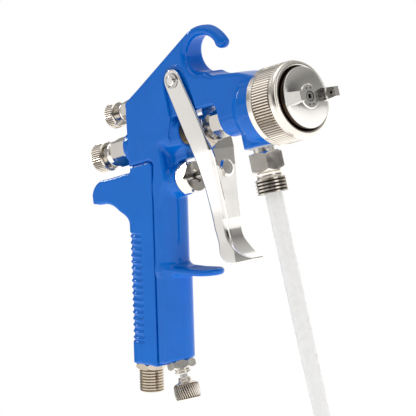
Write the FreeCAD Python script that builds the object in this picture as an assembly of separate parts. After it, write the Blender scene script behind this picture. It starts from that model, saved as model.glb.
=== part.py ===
import FreeCAD, Part
import math
import os

# HVLP spray gun, siphon feed. Millimetres and degrees.
# The gun is drawn about its needle axis: X forward along the needle, Y to the gun's left, Z up,
# with x = 0 on the axis of the fluid inlet. The finished solids are then lifted so that the
# origin is the mouth of the fluid inlet, where the cup lid's nut screws on.
V = FreeCAD.Vector
X_AXIS = V(1, 0, 0)
Y_AXIS = V(0, 1, 0)
Z_AXIS = V(0, 0, 1)
ORIGIN = V(0, 0, 0)

INLET_MOUTH = 42.6         # needle axis down to the mouth of the fluid inlet
FIT = 0.08                 # radial clearance of a moving fit
GAP = 0.3                  # space between parts that only pass each other

# casting
BODY_HALF = 9.3            # half thickness of the casting and of the grip
HOOK_HALF = 6.3            # half thickness at the top of the hook
EDGE_ROUND = 2.2
HOOK_OUTER = (-25.0, 35.2, 16.8)
HOOK_INNER = (-25.5, 37.0, 9.8)
BACK_SLOPE = 25.7          # the rear top edge rises to the hook at this angle
TAPER_FOOT = 24.0          # height where the casting starts to thin towards the hook
WINDOW_TOP = 9.2           # underside of the beam that joins head and rear block
WINDOW_FRONT = -19.5
BOSS_FRONT = -51.0         # front of the rear block's needle boss
BOSS_RADIUS = 8.6
HEAD_REAR = -19.5
HEAD_RADIUS = 17.6
NOSE_RADIUS = 17.2         # threaded nose that carries the retaining ring
NOSE_FRONT = 22.0
INLET_BOSS_RADIUS = 10.0
INLET_BOSS_FOOT = -18.0
REAR_BOSS_REAR = -94.5
CHAMBER_RADIUS = 6.8       # needle spring chamber

# grip, in its own slanted frame: u forward from the cover's front edge, s down the grip
GRIP_TILT = 15.0
GRIP_TOP = (-74.0, -10.0)
GRIP_FOOT = 111.5
TUBE_TOP = 18.0
TUBE_U = 4.0
LOWER_TUBE_TOP = 64.0
LOWER_TUBE_U = 5.9
FLOOR_Z = -116.5           # level foot of the front of the grip
COVER_REAR_U = -14.6       # axis of the round back of the grip
CORE_HALF = 6.2
CORE_REAR_U = -20.5
COVER_LIP = 2.0            # bottom lip of the cover, held by the air inlet's hexagon
COVER_TOP = -9.6
SEAM = 0.3                 # groove between cover and casting
RIB_COUNT = 17
RIB_PITCH = 3.45
RIB_FIRST = 42.5
RIB_DEPTH = 0.8
REST_S = 58.4              # finger rest
REST_THICK = 3.4
REST_NOSE_U = 30.8

# trigger, about its pivot
PIVOT = (-45.6, 27.5)
PIVOT_RADIUS = 2.5
TRIGGER_HALF = 10.0
TRIGGER_FOOT_HALF = 6.3
TRIGGER_SHEET = 1.7
RECESS_HALF = 7.6          # half thickness of the casting between the trigger arms
STUD_RADIUS = 4.9

# axes of the valves
AIR_VALVE_Z = -23.4
AIR_VALVE_FACE = -60.5
PATTERN_Z = 20.2
PATTERN_FACE = -86.8
FLOW_X = -94.3
AIR_INLET_U = -14.6

# fittings and knobs
PIPE_1_4 = 6.58            # radius over a 1/4 inch pipe thread
PIPE_3_8 = 8.33            # radius over a 3/8 inch pipe thread
THREAD_DEPTH = 0.75
THREAD_PITCH = 1.41
RING_RADIUS = 20.5
RING_REAR = 13.65
RING_FRONT = 34.5
FLUID_KNOB = (-114.0, -122.0, 8.2)
PATTERN_KNOB = (-99.3, -105.8, 6.95)
NEEDLE_RADIUS = 2.0
TUBE_OUTER = 4.5
TUBE_INNER = 3.3
TUBE_FOOT = -178.0


# ------------------------------------------------------------------ drawing helpers
def at(x, z):
    return V(x, 0, z)


def outline(*steps):
    """A closed wire in the XZ plane. A step is a point, reached by a straight line, or a pair
    of points: an arc through the first to the second."""
    start = at(*steps[0])
    here = start
    edges = []
    for step in steps[1:] + (steps[0],):
        if isinstance(step[0], tuple):
            middle = at(*step[0])
            end = at(*step[1])
            edges.append(Part.Arc(here, middle, end).toShape())
        else:
            end = at(*step)
            if here.distanceToPoint(end) > 1e-6:
                edges.append(Part.makeLine(here, end))
        here = end
    return Part.Wire(edges)


def on_circle(circle, angle):
    x, z, radius = circle
    turn = math.radians(angle)
    return (x + radius * math.cos(turn), z + radius * math.sin(turn))


def slab(wire, low, high):
    """The outline as a plate from y = low to y = high."""
    face = Part.Face(wire)
    face.translate(V(0, low, 0))
    return face.extrude(V(0, high - low, 0))


def turned(z, *steps):
    """A solid of revolution about the line at height z along X: steps are (x, radius)."""
    solid = Part.Face(outline(*steps)).revolve(ORIGIN, X_AXIS, 360)
    solid.translate(V(0, 0, z))
    return solid


def spun(*steps):
    """A solid of revolution about Z: steps are (radius, height)."""
    return Part.Face(outline(*steps)).revolve(ORIGIN, Z_AXIS, 360)


def rod(x0, x1, radius, z=0.0, y=0.0):
    low = min(x0, x1)
    return Part.makeCylinder(radius, abs(x1 - x0), V(low, y, z), X_AXIS)


def post(radius, low, high, x=0.0, y=0.0):
    return Part.makeCylinder(radius, high - low, V(x, y, low), Z_AXIS)


def polygon(points):
    return Part.Face(Part.makePolygon(points + [points[0]]))


def hexagon_x(across_flats, x0, x1, z, first_corner):
    """A hexagonal bar along X. first_corner is the angle of one corner, measured from +Y."""
    corner = across_flats / math.sqrt(3)
    points = []
    for k in range(6):
        turn = math.radians(first_corner + 60 * k)
        points.append(V(x0, corner * math.cos(turn), z + corner * math.sin(turn)))
    bar = polygon(points).extrude(V(x1 - x0, 0, 0))
    blank = across_flats / 2
    low = min(x0, x1)
    high = max(x0, x1)
    cut = corner - blank
    return bar.common(turned(z, (low, 0), (low, blank), (low + cut, corner + 0.01),
                             (high - cut, corner + 0.01), (high, blank), (high, 0)))


def hexagon_z(across_flats, z0, z1, first_corner):
    """A hexagonal bar along Z with chamfered corners."""
    bar = hexagon_x(across_flats, z0, z1, 0, first_corner)
    bar.rotate(ORIGIN, Y_AXIS, -90)
    return bar


def knurled_x(radius, x0, x1, ridges, depth, z=0.0):
    """A straight-knurled disc along X with chamfered ends."""
    points = []
    for k in range(2 * ridges):
        reach = radius if k % 2 else radius - depth
        turn = math.pi * k / ridges
        points.append(V(x0, reach * math.cos(turn), z + reach * math.sin(turn)))
    disc = polygon(points).extrude(V(x1 - x0, 0, 0))
    low = min(x0, x1)
    high = max(x0, x1)
    edge = 0.8
    return disc.common(turned(z, (low, 0), (low, radius - edge), (low + edge, radius),
                              (high - edge, radius), (high, radius - edge), (high, 0)))


def thread_steps(radius, high, low):
    """Points (radius, height) down the side of a thread with flat crests."""
    count = int((high - low) / THREAD_PITCH)
    pitch = (high - low) / count
    root = radius - THREAD_DEPTH
    steps = []
    for k in range(count):
        crest = high - k * pitch
        steps += [(radius, crest), (radius, crest - 0.45 * pitch),
                  (root, crest - 0.7 * pitch), (root, crest - 0.75 * pitch)]
    steps.append((radius, low + 0.0001))
    return steps


def coil(x0, x1, radius, wire, turns, z=0.0):
    """A wire spring along X with its ends inside x0 and x1, each turn bent in short runs."""
    low = min(x0, x1) + wire
    length = abs(x1 - x0) - 2 * wire
    runs = 14
    path = []
    for k in range(runs * turns + 1):
        turn = 2 * math.pi * k / runs
        path.append(V(low + length * k / (runs * turns), radius * math.cos(turn),
                      z + radius * math.sin(turn)))
    start = path[0]
    section = Part.Wire(Part.makeCircle(wire, start, path[1] - start))
    return Part.makePolygon(path).makePipeShell([section], True, False, 1)


def in_grip(shape):
    """Moves a shape drawn in the grip's frame (u along X, s down) to its place on the gun."""
    shape.rotate(ORIGIN, Y_AXIS, GRIP_TILT)
    shape.translate(at(*GRIP_TOP))
    return shape


def grip_point(u, s):
    turn = math.radians(GRIP_TILT)
    x = GRIP_TOP[0] + u * math.cos(turn) - s * math.sin(turn)
    z = GRIP_TOP[1] - u * math.sin(turn) - s * math.cos(turn)
    return (x, z)


def grip_box(u0, u1, half, s0, s1):
    return in_grip(Part.makeBox(u1 - u0, 2 * half, s1 - s0, V(u0, -half, -s1)))


def grip_post(u, radius, s0, s1):
    return in_grip(Part.makeCylinder(radius, s1 - s0, V(u, 0, -s1), Z_AXIS))


def rounded(shape, radius, wanted):
    """Rounds the edges that wanted(edge centre) picks."""
    edges = [edge for edge in shape.Edges if wanted(edge.CenterOfMass)]
    return shape.makeFillet(radius, edges)


# ------------------------------------------------------------------ casting
def side_plate():
    """The flat-sided plate of the casting: hook, sloping back, beam and rear block."""
    tip_z = 40.7
    outer_tip = on_circle(HOOK_OUTER, 19.1)
    inner_tip = on_circle(HOOK_INNER, 22.2)
    tip_x = (outer_tip[0] + inner_tip[0]) / 2
    tip_foot = (tip_x, tip_z - (outer_tip[0] - inner_tip[0]) / 2)
    back_top = on_circle(HOOK_OUTER, 90 + BACK_SLOPE)
    wire = outline(
        back_top,
        (on_circle(HOOK_OUTER, 65), outer_tip),
        (tip_foot, inner_tip),
        (on_circle(HOOK_INNER, 100), on_circle(HOOK_INNER, 180)),
        (on_circle(HOOK_INNER, 235), on_circle(HOOK_INNER, 280)),
        (-6.0, 23.0),
        ((4.0, 20.6), (12.5, 16.4)),
        (12.5, 0.0),
        (WINDOW_FRONT, 0.0),
        (WINDOW_FRONT, WINDOW_TOP - 3.5),
        ((WINDOW_FRONT - 1.0, WINDOW_TOP - 1.0), (WINDOW_FRONT - 3.5, WINDOW_TOP)),
        (-53.5, WINDOW_TOP),
        (-58.0, 0.5),
        ((-60.5, -1.6), (-66.0, -2.4)),
        (-67.2, -22.0),
        (-70.5, -27.0),
        grip_point(0.0, 20.0),
        (-74.6, COVER_TOP - 2.0),
        (-76.0, COVER_TOP),
        (-92.9, COVER_TOP),
        (-86.2, 20.5),
        ((-86.2, 23.2), (-84.2, 25.1)),
    )
    plate = slab(wire, -BODY_HALF, BODY_HALF)
    for side in (-1, 1):
        wedge = polygon([V(-95, side * BODY_HALF, TAPER_FOOT), V(-95, side * 20, TAPER_FOOT),
                         V(-95, side * 20, 60), V(-95, side * (HOOK_HALF - 0.7), 60)])
        plate = plate.cut(wedge.extrude(V(100, 0, 0)))
    return rounded(plate, EDGE_ROUND,
                   lambda c: abs(c.y) > HOOK_HALF - 0.5 and c.z > 21 and c.x > -84)


def head():
    """The round head with its threaded nose, packing neck and fluid inlet boss."""
    shape = turned(0, (HEAD_REAR, 0), (HEAD_REAR, 7.8), ((HEAD_REAR + 0.5, 8.9), (HEAD_REAR + 1.6, 9.3)),
                   (-8.0, 9.3), ((-2.6, 11.9), (1.0, 16.2)), ((1.5, 17.2), (2.6, HEAD_RADIUS)),
                   (13.3, HEAD_RADIUS), (13.3, NOSE_RADIUS), (NOSE_FRONT, NOSE_RADIUS), (NOSE_FRONT, 0))
    return shape.fuse(post(INLET_BOSS_RADIUS, INLET_BOSS_FOOT, 0))


def rear_block():
    """Needle boss, thin web, air valve boss and the boss of the fluid adjustment."""
    boss = turned(0, (-74, 0), (-74, BOSS_RADIUS), (BOSS_FRONT - 1, BOSS_RADIUS),
                  (BOSS_FRONT, BOSS_RADIUS - 1), (BOSS_FRONT, 0))
    web = slab(outline((-70, -3), (BOSS_FRONT - 1, -3), (BOSS_FRONT - 1, -13.6),
                       (AIR_VALVE_FACE, -13.9), (-70, -15.5)), -3.6, 3.6)
    valve = turned(AIR_VALVE_Z, (-78, 0), (-78, BOSS_RADIUS), (AIR_VALVE_FACE - 0.8, BOSS_RADIUS),
                   (AIR_VALVE_FACE, BOSS_RADIUS - 0.8), (AIR_VALVE_FACE, 0))
    valve = valve.common(grip_box(0, 40, 20, 0, 40))
    rear = turned(0, (-80, 0), (-80, BODY_HALF), (REAR_BOSS_REAR + 1.2, BODY_HALF),
                  (REAR_BOSS_REAR, BODY_HALF - 1.2), (REAR_BOSS_REAR, 0))
    return [boss, web, valve, rear]


def grip_front():
    """The round front of the grip, its core inside the cover and the finger rest."""
    upper = grip_post(TUBE_U, BODY_HALF, TUBE_TOP, LOWER_TUBE_TOP + 3)
    dome = in_grip(Part.makeSphere(BODY_HALF, V(TUBE_U, 0, -TUBE_TOP)))
    lower = grip_post(LOWER_TUBE_U, BODY_HALF, LOWER_TUBE_TOP, GRIP_FOOT + 6)
    front = upper.multiFuse([dome, lower]).common(grip_box(0, 40, 20, 0, GRIP_FOOT + 8))
    strip = grip_box(0, LOWER_TUBE_U, BODY_HALF, 18, GRIP_FOOT)
    core = grip_box(CORE_REAR_U, 1.0, CORE_HALF, 4.0, GRIP_FOOT - COVER_LIP - GAP)
    key = slab(outline((-92.6, COVER_TOP + 1), (-74.5, COVER_TOP + 1), (-79, -22), (-93.5, -18)),
               -CORE_HALF, CORE_HALF)
    return [front, strip, core, key, finger_rest()]


def finger_rest():
    half = 8.6
    plate = Part.makeBox(REST_NOSE_U, 2 * half, REST_THICK, V(0, -half, -REST_S - REST_THICK / 2))
    nose = Part.makeCylinder(half, REST_THICK, V(REST_NOSE_U, 0, -REST_S - REST_THICK / 2), Z_AXIS)
    rest = plate.fuse(nose).removeSplitter()
    rest = rounded(rest, REST_THICK / 2 - 0.2, lambda c: abs(c.z + REST_S) > 1 and c.x > 2)
    return in_grip(rest)


def trigger_recess(side):
    """The shallow side channel that the trigger arm swings in."""
    wire = outline((-33.6, -6.0), (-33.6, 9.0), (-35.4, 26.3), ((-38.4, 32.9), (-44.6, 35.2)),
                   ((-50.9, 32.9), (-53.2, 26.5)), (-53.8, 9.0), (-58.5, 0.0), (-58.5, -6.0))
    low, high = sorted((side * RECESS_HALF, side * (BODY_HALF + 1)))
    return slab(wire, low, high)


def body_drillings():
    """Every bore of the casting."""
    nozzle_seat = turned(0, (NOSE_FRONT + 1, 0), (NOSE_FRONT + 1, 7.0), (6.45, 7.0), (6.45, 6.45),
                         (5.55, 6.45), (5.55, 0))
    needle = rod(HEAD_REAR - 1, 8, 2.4)
    packing = rod(HEAD_REAR - 1, -8.0, 5.0)
    fluid = post(4.7, INLET_BOSS_FOOT - 1, -5.5)
    inlet_thread = post(6.0, INLET_BOSS_FOOT - 1, -11.0)
    chamber = rod(BOSS_FRONT + 1, REAR_BOSS_REAR - 1, CHAMBER_RADIUS)
    pattern = rod(PATTERN_FACE - 9, -70.0, 4.2, PATTERN_Z)
    spotface = rod(PATTERN_FACE, PATTERN_FACE - 9, 6.6, PATTERN_Z)
    pattern_air = rod(-71, -9.0, 2.6, PATTERN_Z - 3.5)
    pattern_port = rod(-71, -66.0, 2.6, PATTERN_Z)
    pattern_link = post(2.4, PATTERN_Z - 4.0, PATTERN_Z, -68.4)
    horn_air = rod(-11.5, NOSE_FRONT + 1, 2.3, 12.6)
    horn_drop = post(2.3, 12.6, PATTERN_Z - 3.5, -10.5)
    valve_bore = rod(AIR_VALVE_FACE + 1, -85.0, 5.1, AIR_VALVE_Z)
    valve_port = rod(-84.0, -92.5, 3.0, AIR_VALVE_Z)
    grip_air = grip_post(AIR_INLET_U, 4.2, 19.0, GRIP_FOOT + 1)
    inlet_bore = grip_post(AIR_INLET_U, 5.6, GRIP_FOOT - 12, GRIP_FOOT + 1)
    flow_bore = post(5.1, FLOOR_Z - 1, FLOOR_Z + 12, FLOW_X)
    flow_port = post(3.0, FLOOR_Z + 11, FLOOR_Z + 18, FLOW_X)
    cross_start = at(FLOW_X, FLOOR_Z + 16)
    cross = Part.makeCylinder(2.4, 17.5, cross_start, V(-1, 0, 0.1))
    pin_start = V(PIVOT[0], -BODY_HALF - 2, PIVOT[1])
    pin = Part.makeCylinder(PIVOT_RADIUS + 0.01, 2 * BODY_HALF + 4, pin_start, Y_AXIS)
    return [nozzle_seat, needle, packing, fluid, inlet_thread, chamber, spotface, pattern,
            pattern_air, pattern_port, pattern_link, horn_air, horn_drop, valve_bore, valve_port,
            grip_air, inlet_bore, flow_bore, flow_port, cross, pin]


def gun_body():
    solids = [head()] + rear_block() + grip_front()
    body = side_plate().multiFuse(solids)
    below_foot = Part.makeBox(80, 40, 30, V(-120, -20, FLOOR_Z - 30))
    below_cover = grip_box(-40, -4.55, 20, GRIP_FOOT, GRIP_FOOT + 20)
    cuts = [trigger_recess(-1), trigger_recess(1), below_foot, below_cover] + body_drillings()
    return body.cut(cuts).removeSplitter()


def rib_steps():
    """Points (radius, height) down the ribbed back of the grip."""
    steps = [(BODY_HALF, -34.0)]
    for k in range(RIB_COUNT + 1):
        groove = -RIB_FIRST - (k - 0.5) * RIB_PITCH
        steps += [(BODY_HALF, groove + 1.1), (BODY_HALF - RIB_DEPTH, groove + 0.4),
                  (BODY_HALF - RIB_DEPTH, groove - 0.4), (BODY_HALF, groove - 1.1)]
    return steps


def rear_grip_cover():
    """The separate rear shell of the grip: thumb spur, ribbed round back and side walls."""
    spur = outline(
        (-76.2, COVER_TOP - SEAM),
        (-92.9, COVER_TOP - SEAM),
        (-93.6, -12.4),
        (-116.0, -12.6),
        ((-122.8, -14.6), (-126.2, -19.0)),
        (-126.6, -22.6),
        ((-126.2, -24.2), (-124.4, -24.9)),
        (-117.0, -25.6),
        ((-109.0, -30.0), grip_point(COVER_REAR_U - BODY_HALF, 33.0)),
        grip_point(COVER_REAR_U - BODY_HALF, 36.0),
        grip_point(-SEAM, 36.0),
        grip_point(-SEAM, 3.4),
        (-75.2, COVER_TOP - 1.0 - SEAM),
    )
    upper = slab(spur, -BODY_HALF, BODY_HALF)
    back = spun((0, -34.0), *rib_steps(), (BODY_HALF, -GRIP_FOOT + 1.2),
                (BODY_HALF - 1.2, -GRIP_FOOT), (0, -GRIP_FOOT))
    back.translate(V(COVER_REAR_U, 0, 0))
    walls = grip_box(COVER_REAR_U, -SEAM, BODY_HALF, 34.0, GRIP_FOOT)
    cover = upper.multiFuse([in_grip(back), walls])
    cavity = grip_box(CORE_REAR_U - GAP, 5, CORE_HALF + 0.05, -10, GRIP_FOOT - COVER_LIP)
    chamber = slab(outline((-94.2, COVER_TOP + 1), (-72, COVER_TOP + 1), (-72, -30), (-94.4, -30)),
                   -CORE_HALF - 0.05, CORE_HALF + 0.05)
    lip_hole = grip_post(AIR_INLET_U, 6.0, GRIP_FOOT - 5, GRIP_FOOT + 1)
    boss_room = rod(-70, REAR_BOSS_REAR - 1, BODY_HALF + 0.2)
    trim = grip_box(-SEAM, 12, 12, -2, GRIP_FOOT + 1)
    return cover.cut([cavity, chamber, lip_hole, boss_room, trim]).removeSplitter()


# ------------------------------------------------------------------ spray head
def fluid_nozzle():
    shape = turned(0, (6.5, 2.8), (6.5, 6.9), (24.1, 6.9), (24.1, 9.0), (26.6, 9.0), (26.6, 6.6),
                   (30.2, 6.6), (36.2, 3.4), (36.6, 2.4), (39.5, 2.4), (39.5, 1.25), (38.4, 1.25),
                   (33.5, 2.8))
    hexagon = hexagon_x(14.5, 26.6, 30.2, 0, 30).cut(rod(20, 40, 2.8))
    window = post(4.7, -9, 0)
    return shape.fuse(hexagon).cut(window)


def air_distributor():
    disc = turned(0, (22.05, 7.0), (22.05, 15.8), (23.3, 15.8), (24.05, 15.0), (24.05, 7.0))
    holes = []
    for k in range(10):
        turn = math.radians(36 * k)
        holes.append(rod(21, 25, 1.2, 11.6 * math.sin(turn), 11.6 * math.cos(turn)))
    return disc.cut(holes)


def nozzle_gasket():
    return turned(0, (5.6, 3.2), (5.6, 6.4), (6.4, 6.4), (6.4, 3.2))


def air_cap():
    """The domed cap with its two horns on the left and right."""
    shell = turned(0, (24.6, 14.6), (24.6, 16.5), (31.0, 16.5), (31.0, 17.9), (32.6, 17.9),
                   (32.6, 16.45), (36.2, 16.25), ((36.9, 16.0), (37.2, 15.4)), ((38.5, 11.2), (39.2, 6.6)),
                   (39.7, 6.0), (39.7, 2.8), (37.6, 2.8), (37.4, 6.0), ((36.6, 11.0), (34.6, 14.6)))
    shape = shell.multiFuse([horn(-1), horn(1)])
    drillings = []
    for side in (-1, 1):
        drillings.append(rod(31.0, 44.6, 1.3, 0, side * 12.4))
        drillings.append(Part.makeCylinder(0.7, 6.0, V(43.4, side * 13.0, 0), V(0.45, -side, 0)))
        for z in (-4.2, 4.2):
            drillings.append(rod(36, 41, 0.5, z, side * 1.5))
    return shape.cut(drillings)


def horn(side):
    """One horn: a tapered block that rises from the rim, with a stepped inner face."""
    base = Part.makePolygon([V(33.6, side * 16.0, -4.0), V(33.6, side * 16.0, 4.0),
                             V(33.6, side * 9.0, 4.0), V(33.6, side * 9.0, -4.0),
                             V(33.6, side * 16.0, -4.0)])
    tip = Part.makePolygon([V(46.6, side * 14.4, -2.5), V(46.6, side * 14.4, 2.5),
                            V(46.6, side * 11.2, 2.5), V(46.6, side * 11.2, -2.5),
                            V(46.6, side * 14.4, -2.5)])
    return Part.makeLoft([base, tip], True, True)


def cap_snap_ring():
    ring = turned(0, (29.9, 17.1), (29.9, 18.0), (30.7, 18.0), (30.7, 17.1))
    slot = Part.makeBox(3, 4, 5, V(29, -2, 15))
    return ring.cut(slot)


def retaining_ring():
    """The knurled ring that clamps the air cap."""
    outer = turned(0, (RING_REAR, 17.28), (RING_REAR, 20.0), (RING_REAR + 0.5, RING_RADIUS),
                   (16.8, RING_RADIUS), (17.2, 19.7), (29.6, 19.7), (29.9, 20.2), (30.2, RING_RADIUS),
                   (32.0, RING_RADIUS), ((33.3, 20.0), (33.9, 19.0)), (34.2, 18.9),
                   ((RING_FRONT, 17.9), (34.2, 17.0)), (33.9, 16.75), (33.1, 16.75),
                   (33.1, 18.3), (22.6, 18.3), (22.6, 17.28))
    band = knurled_x(20.5, 17.0, 29.7, 84, 0.75).cut(rod(10, 40, 19.0))
    return outer.fuse(band)


# ------------------------------------------------------------------ fluid side
def fluid_inlet_nipple():
    steps = thread_steps(PIPE_3_8, -35.2, 0.5 - INLET_MOUTH)
    body = spun((TUBE_OUTER + 0.05, -11.2), (5.9, -11.2), (5.9, -18.7), (5.6, -18.7), (5.6, -21.4),
                (8.4, -21.4), (8.4, -31.2), (6.9, -32.2), ((6.6, -33.4), (7.0, -34.6)), *steps,
                (PIPE_3_8, 0.4 - INLET_MOUTH), (PIPE_3_8, -INLET_MOUTH), (TUBE_OUTER + 0.05, -INLET_MOUTH))
    hexagon = hexagon_z(17.0, -31.4, -21.2, 45)
    return body.fuse(hexagon.cut(post(TUBE_OUTER + 0.05, -60, 0)))


def inlet_washer():
    return spun((5.95, INLET_BOSS_FOOT - 0.7), (5.95, INLET_BOSS_FOOT), (7.4, INLET_BOSS_FOOT),
                (7.4, INLET_BOSS_FOOT - 0.7))


def siphon_tube():
    """The dip tube that hangs in the cup, cut at a slant at its foot."""
    tube = post(TUBE_OUTER, TUBE_FOOT, -13.0).cut(post(TUBE_INNER, TUBE_FOOT - 1, -12.0))
    bevel = slab(outline((-6, TUBE_FOOT - 1), (6, TUBE_FOOT - 1), (-6, TUBE_FOOT + 6)), -6, 6)
    return tube.cut(bevel)


def fluid_needle():
    return turned(0, (38.6, 0), (38.2, 0.45), (33.5, 1.6), (-18.0, 1.6), (-19.0, NEEDLE_RADIUS),
                  (-90.0, NEEDLE_RADIUS), (-90.6, 1.4), (-90.6, 0))


def needle_collar():
    """The sleeve on the needle that the trigger pulls back."""
    bore = NEEDLE_RADIUS + 0.01
    sleeve = turned(0, (-34.0, bore), (-34.0, 5.4), ((-34.5, 6.6), (-35.6, 7.0)), (-40.6, 7.0),
                    (-41.2, 6.4), (-41.2, bore))
    flat = Part.makeBox(10, 4, 3, V(-45, -2, 6.4))
    return sleeve.cut(flat)


def packing_nut():
    hexagon = hexagon_x(14.0, -19.7, -28.0, 0, 90)
    thread = rod(-14.0, -20.5, 4.9)
    return hexagon.fuse(thread).cut(rod(-10, -30, NEEDLE_RADIUS + FIT))


def needle_packing():
    return turned(0, (-8.1, 1.7), (-8.1, 4.9), (-13.9, 4.9), (-13.9, 1.7))


def needle_bushing():
    """The brass guide at the front of the spring chamber."""
    return turned(0, (-51.3, NEEDLE_RADIUS + FIT), (-51.3, 5.4), (-52.0, 6.75), (-57.0, 6.75),
                  (-57.0, NEEDLE_RADIUS + FIT))


def spring_cup():
    bore = NEEDLE_RADIUS + 0.01
    return turned(0, (-58.8, bore), (-58.8, 5.0), (-60.2, 5.0), (-60.2, 3.1), (-63.5, 3.1),
                  (-63.5, bore))


def needle_spring():
    return coil(-60.4, -87.4, 4.1, 0.55, 8)


def spring_rear_seat():
    """The loose disc between the spring and the knob's screw."""
    return rod(-87.5, -89.1, 4.9).cut(rod(-80, -95, 2.3))


def spring_housing():
    """The hexagonal housing screwed into the rear boss, with its round neck."""
    bore = 5.2 + FIT
    shell = turned(0, (-86.0, bore), (-86.0, 6.7), (-94.6, 6.7), (-94.6, 7.0), (-106.4, 7.0),
                   (-106.8, 6.2), ((-108.6, 6.9), (-111.2, 6.2)), (-112.6, 5.9), (-112.6, bore))
    hexagon = hexagon_x(14.0, -94.6, -106.4, 0, 20).cut(rod(-80, -120, bore))
    return shell.common(hexagon.fuse(rod(-80, -94.6, 8)).fuse(rod(-106.4, -120, 8))).fuse(hexagon)


def fluid_knob():
    """The knurled knob with the screw that the needle spring pushes on."""
    rear, end, radius = FLUID_KNOB
    knob = knurled_x(radius, rear, end, 40, 0.55)
    dish = turned(0, (end - 1, 0), (end - 1, radius - 1.6), (end + 0.6, radius - 2.6), (end + 0.6, 0))
    screw = rod(rear - 1, -89.2, 5.2)
    hollow = rod(-88.0, -100.0, 2.6)
    return knob.cut(dish).fuse(screw).cut(hollow)


# ------------------------------------------------------------------ pattern valve
def pattern_bushing():
    bore = NEEDLE_RADIUS + FIT
    hexagon = hexagon_x(11.0, -86.85, -93.4, PATTERN_Z, 20)
    thread = rod(-70.4, -87.5, 4.1, PATTERN_Z)
    collar = turned(PATTERN_Z, (-93.0, 0), (-93.0, 4.6), ((-94.4, 5.3), (-95.6, 4.7)), (-96.0, 4.2),
                    (-96.0, 0))
    seat = rod(-70, -82, 3.0, PATTERN_Z)
    return hexagon.multiFuse([thread, collar]).cut([rod(-60, -100, bore, PATTERN_Z), seat])


def pattern_stem():
    return turned(PATTERN_Z, (-67.4, 0), (-68.2, 0.8), (-71.5, NEEDLE_RADIUS), (-97.2, NEEDLE_RADIUS),
                  (-97.2, 0))


def pattern_stem_seal():
    return turned(PATTERN_Z, (-78.0, NEEDLE_RADIUS + 0.01), (-78.0, 2.9), (-80.0, 2.9),
                  (-80.0, NEEDLE_RADIUS + 0.01))


def pattern_knob():
    rear, end, radius = PATTERN_KNOB
    knob = knurled_x(radius, rear, end, 34, 0.5, PATTERN_Z)
    dish = turned(PATTERN_Z, (end - 1, 0), (end - 1, radius - 1.5), (end + 0.5, radius - 2.3),
                  (end + 0.5, 0))
    neck = rod(rear - 1, -97.3, 3.6, PATTERN_Z)
    return knob.cut(dish).fuse(neck)


# ------------------------------------------------------------------ air valve
def air_valve_nut():
    bore = NEEDLE_RADIUS + FIT
    hexagon = hexagon_x(16.0, AIR_VALVE_FACE + 0.05, -52.5, AIR_VALVE_Z, 0)
    thread = rod(-60, -68.0, 5.0, AIR_VALVE_Z)
    dish = turned(AIR_VALVE_Z, (-52, 0), (-52, 3.9), (-54.0, 3.2), (-54.0, 0))
    return hexagon.fuse(thread).cut([rod(-50, -70, bore, AIR_VALVE_Z), dish])


def air_valve_stem():
    """The push stem with its poppet."""
    return turned(AIR_VALVE_Z, (-33.8, 0), ((-34.1, 1.3), (-35.0, NEEDLE_RADIUS)),
                  (-69.5, NEEDLE_RADIUS), (-69.5, 3.9), (-71.5, 3.9), (-72.3, 2.6), (-73.2, 1.6),
                  (-74.5, 1.6), (-74.5, 0))


def air_valve_seal():
    return turned(AIR_VALVE_Z, (-68.1, NEEDLE_RADIUS + 0.05), (-68.1, 5.0), (-69.3, 5.0),
                  (-69.3, NEEDLE_RADIUS + 0.05))


def air_valve_spring():
    return coil(-72.4, -84.7, 3.2, 0.45, 5, AIR_VALVE_Z)


# ------------------------------------------------------------------ trigger
def trigger_side(inset):
    """The trigger's side outline; inset moves its front in by the sheet's thickness."""
    px, pz = PIVOT
    radius = 6.0
    front = [(-34.1, 9.6), (-28.7, -12.9), (-30.2, -31.0), (-31.7, -54.0)]
    front = [(x - inset * 1.03, z) for x, z in front]
    if inset:
        foot = [(-33.4 - inset * 0.3, -64.0), (-38.5, -70.5), (-60.0, -70.5), (-60.0, 40.0)]
        return outline((px, 40.0), (front[0][0] - 5.0, 32.0), *front, *foot)
    return outline(
        (px - radius, pz - 1.5),
        ((px - 0.6, pz + radius), (px + radius, pz + 0.6)),
        *front,
        ((-31.0, -66.0), (-20.4, -72.4)),
        ((-19.4, -73.3), (-20.4, -74.2)),
        (-31.0, -74.0),
        ((-38.0, -71.6), (-41.6, -65.5)),
        (-42.8, -53.0),
        (-42.0, -30.0),
        (-43.4, -7.4),
    )


def trigger_front(inset):
    """The trigger's front outline, in Y and Z: parallel arms that draw in towards the foot."""
    half = TRIGGER_HALF - inset
    foot = TRIGGER_FOOT_HALF - inset
    points = []
    for side in (1, -1):
        run = [(half, 60.0), (half, -10.0), (foot + 1.3, -31.0), (foot, -52.0), (foot + 0.3, -64.0),
               (foot + 1.2, -76.0)]
        if side < 0:
            run.reverse()
        points += [V(-70, side * y, z) for y, z in run]
    return polygon(points).extrude(V(60, 0, 0))


def trigger():
    """The folded U-shaped trigger with the notch that straddles the needle."""
    outer = slab(trigger_side(0), -14, 14).common(trigger_front(0))
    inner = slab(trigger_side(TRIGGER_SHEET), -14, 14).common(trigger_front(TRIGGER_SHEET))
    above_web = Part.makeBox(60, 2 * (TRIGGER_HALF - TRIGGER_SHEET), 50,
                             V(-60, TRIGGER_SHEET - TRIGGER_HALF, -1.0))
    notch = rod(-45, -20, 5.0, -3.0).fuse(Part.makeBox(25, 10, 10, V(-45, -5, -3.0)))
    px, pz = PIVOT
    pin = Part.makeCylinder(PIVOT_RADIUS + 0.05, 30, V(px, -15, pz), Y_AXIS)
    stud = rod(-45, -20, 2.6, AIR_VALVE_Z)
    return outer.cut([inner, above_web, notch, pin, stud]).removeSplitter()


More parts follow.
